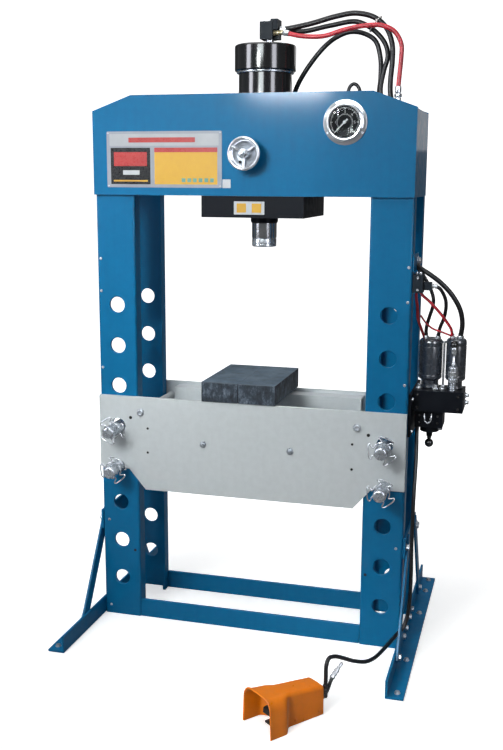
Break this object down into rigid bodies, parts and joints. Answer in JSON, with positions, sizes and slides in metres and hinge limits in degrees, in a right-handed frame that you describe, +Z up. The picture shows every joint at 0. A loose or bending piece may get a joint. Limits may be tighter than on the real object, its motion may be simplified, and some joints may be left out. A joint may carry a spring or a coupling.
{
  "type": "hydraulic shop press",
  "caption": "H-frame hydraulic shop press with sliding ram carriage, pinned height-adjustable table, press blocks, air-hydraulic side pump and foot pedal.",
  "frame": {"origin": "on the floor, under the middle of the front base bar, which is midway between the two uprights", "axes": "+X to the operator's right, +Y to the back of the press, +Z up"},
  "size_m": [1.237, 1.2477, 1.9849],
  "materials": {
    "frame_blue": "semi-gloss enamel",
    "table_grey": "semi-gloss enamel",
    "block_steel": "blued, machined",
    "bright_steel": "zinc plated and ground",
    "satin_black": "satin black",
    "gloss_black": "gloss black",
    "chrome": "polished",
    "needle_white": "matt white",
    "motor_grey": "anodised dark grey",
    "guard_orange": "gloss orange enamel",
    "hose_black": "matt"
  },
  "bodies": {
    "frame": {"head_front_plate": "frame_blue", "head_rear_plate": "frame_blue", "head_end_plate_left": "frame_blue", "head_end_plate_right": "frame_blue", "upright_left_front": "frame_blue", "upright_left_rear": "frame_blue", "upright_right_front": "frame_blue", "upright_right_rear": "frame_blue", "tie_plate_left": "frame_blue", "tie_plate_right": "frame_blue", "base_bar_front": "frame_blue", "base_bar_rear": "frame_blue", "foot_left": "frame_blue", "foot_right": "frame_blue", "brace_left_front": "frame_blue", "brace_left_rear": "frame_blue", "brace_right_front": "frame_blue", "brace_right_rear": "frame_blue", "table_front_plate": "table_grey", "table_rear_plate": "table_grey", "table_stiffener": "table_grey", "table_spacer_left": "table_grey", "table_spacer_right": "table_grey", "gauge_case": "chrome", "pump_manifold": "satin_black", "air_motor_left": "motor_grey", "air_motor_right": "motor_grey", "pump_body": "satin_black", "side_valve_block": "motor_grey", "hose_top": "hose_black", "hose_side": "hose_black", "pedal_hose": "hose_black", "pedal_base": "satin_black", "pedal_guard": "guard_orange"},
    "carriage": {"carriage_block": "satin_black", "carriage_rack": "bright_steel", "cylinder_barrel": "gloss_black", "cylinder_gland": "satin_black", "cylinder_cap": "gloss_black", "valve_block": "satin_black"},
    "ram": {"ram_rod": "bright_steel", "ram_nose": "bright_steel"},
    "roller_left": {"roller_set_left": "bright_steel"},
    "roller_right": {"roller_set_right": "bright_steel"},
    "handwheel": {"handwheel": "chrome", "handwheel_shaft": "bright_steel"},
    "needle": {"gauge_needle": "needle_white"},
    "block_left": {"press_block_left": "block_steel"},
    "block_right": {"press_block_right": "block_steel"},
    "pin_left_upper": {"support_pin_left_upper": "bright_steel"},
    "pin_left_lower": {"support_pin_left_lower": "bright_steel"},
    "pin_right_upper": {"support_pin_right_upper": "bright_steel"},
    "pin_right_lower": {"support_pin_right_lower": "bright_steel"},
    "clip_left_upper": {"pin_clip_left_upper": "bright_steel"},
    "clip_left_lower": {"pin_clip_left_lower": "bright_steel"},
    "clip_right_upper": {"pin_clip_right_upper": "bright_steel"},
    "clip_right_lower": {"pin_clip_right_lower": "bright_steel"},
    "lever": {"control_lever": "chrome"},
    "knob": {"relief_knob": "gloss_black"},
    "treadle": {"foot_pedal": "satin_black"}
  },
  "joints": [
    {"name": "carriage_slide", "type": "slide", "parent": "frame", "child": "carriage", "axis": [1, 0, 0], "range_m": [-0.134, 0.106], "deforming": ["hose_top"]},
    {"name": "ram_slide", "type": "slide", "parent": "carriage", "child": "ram", "axis": [0, 0, -1], "range_m": [0, 0.3]},
    {"name": "roller_left_spin", "type": "hinge", "parent": "carriage", "child": "roller_left", "pos_m": [-0.115, 0.131, 1.4703], "axis": [0, 1, 0], "continuous": true},
    {"name": "roller_right_spin", "type": "hinge", "parent": "carriage", "child": "roller_right", "pos_m": [0.143, 0.131, 1.4703], "axis": [0, 1, 0], "continuous": true},
    {"name": "handwheel_spin", "type": "hinge", "parent": "frame", "child": "handwheel", "pos_m": [0, -0.049, 1.557], "axis": [0, 1, 0], "continuous": true},
    {"name": "needle_swing", "type": "hinge", "parent": "frame", "child": "needle", "pos_m": [0.299, -0.032, 1.647], "axis": [0, 1, 0], "range_deg": [0, 270]},
    {"name": "pin_left_upper_slide", "type": "slide", "parent": "frame", "child": "pin_left_upper", "axis": [0, -1, 0], "range_m": [0, 0.42]},
    {"name": "pin_left_lower_slide", "type": "slide", "parent": "frame", "child": "pin_left_lower", "axis": [0, -1, 0], "range_m": [0, 0.42]},
    {"name": "pin_right_upper_slide", "type": "slide", "parent": "frame", "child": "pin_right_upper", "axis": [0, -1, 0], "range_m": [0, 0.42]},
    {"name": "pin_right_lower_slide", "type": "slide", "parent": "frame", "child": "pin_right_lower", "axis": [0, -1, 0], "range_m": [0, 0.42]},
    {"name": "clip_left_upper_swing", "type": "hinge", "parent": "pin_left_upper", "child": "clip_left_upper", "pos_m": [-0.444, -0.072, 0.6695], "axis": [0, 0, 1], "range_deg": [-28, 28]},
    {"name": "clip_left_lower_swing", "type": "hinge", "parent": "pin_left_lower", "child": "clip_left_lower", "pos_m": [-0.444, -0.072, 0.5352], "axis": [0, 0, 1], "range_deg": [-28, 28]},
    {"name": "clip_right_upper_swing", "type": "hinge", "parent": "pin_right_upper", "child": "clip_right_upper", "pos_m": [0.444, -0.072, 0.6695], "axis": [0, 0, 1], "range_deg": [-28, 28]},
    {"name": "clip_right_lower_swing", "type": "hinge", "parent": "pin_right_lower", "child": "clip_right_lower", "pos_m": [0.444, -0.072, 0.5352], "axis": [0, 0, 1], "range_deg": [-28, 28]},
    {"name": "block_left_slide", "type": "slide", "parent": "frame", "child": "block_left", "axis": [-1, 0, 0], "range_m": [0, 0.2]},
    {"name": "block_right_slide", "type": "slide", "parent": "frame", "child": "block_right", "axis": [1, 0, 0], "range_m": [0, 0.2]},
    {"name": "lever_swing", "type": "hinge", "parent": "frame", "child": "lever", "pos_m": [0.638, 0.051, 0.928], "axis": [0, 1, 0], "range_deg": [-14, 14]},
    {"name": "knob_turn", "type": "hinge", "parent": "frame", "child": "knob", "pos_m": [0.568, 0.101, 0.67], "axis": [0, 0, 1], "range_deg": [0, 360]},
    {"name": "treadle_press", "type": "hinge", "parent": "frame", "child": "treadle", "pos_m": [0.28547, -0.50093, 0.05], "axis": [0.7763, -0.6304, 0], "range_deg": [0, 12]}
  ],
  "couplings": [
    {"joint": "handwheel_spin", "follows": "carriage_slide", "rad_per_m": -50},
    {"joint": "roller_left_spin", "follows": "carriage_slide", "rad_per_m": 41.667},
    {"joint": "roller_right_spin", "follows": "carriage_slide", "rad_per_m": 41.667}
  ]
}
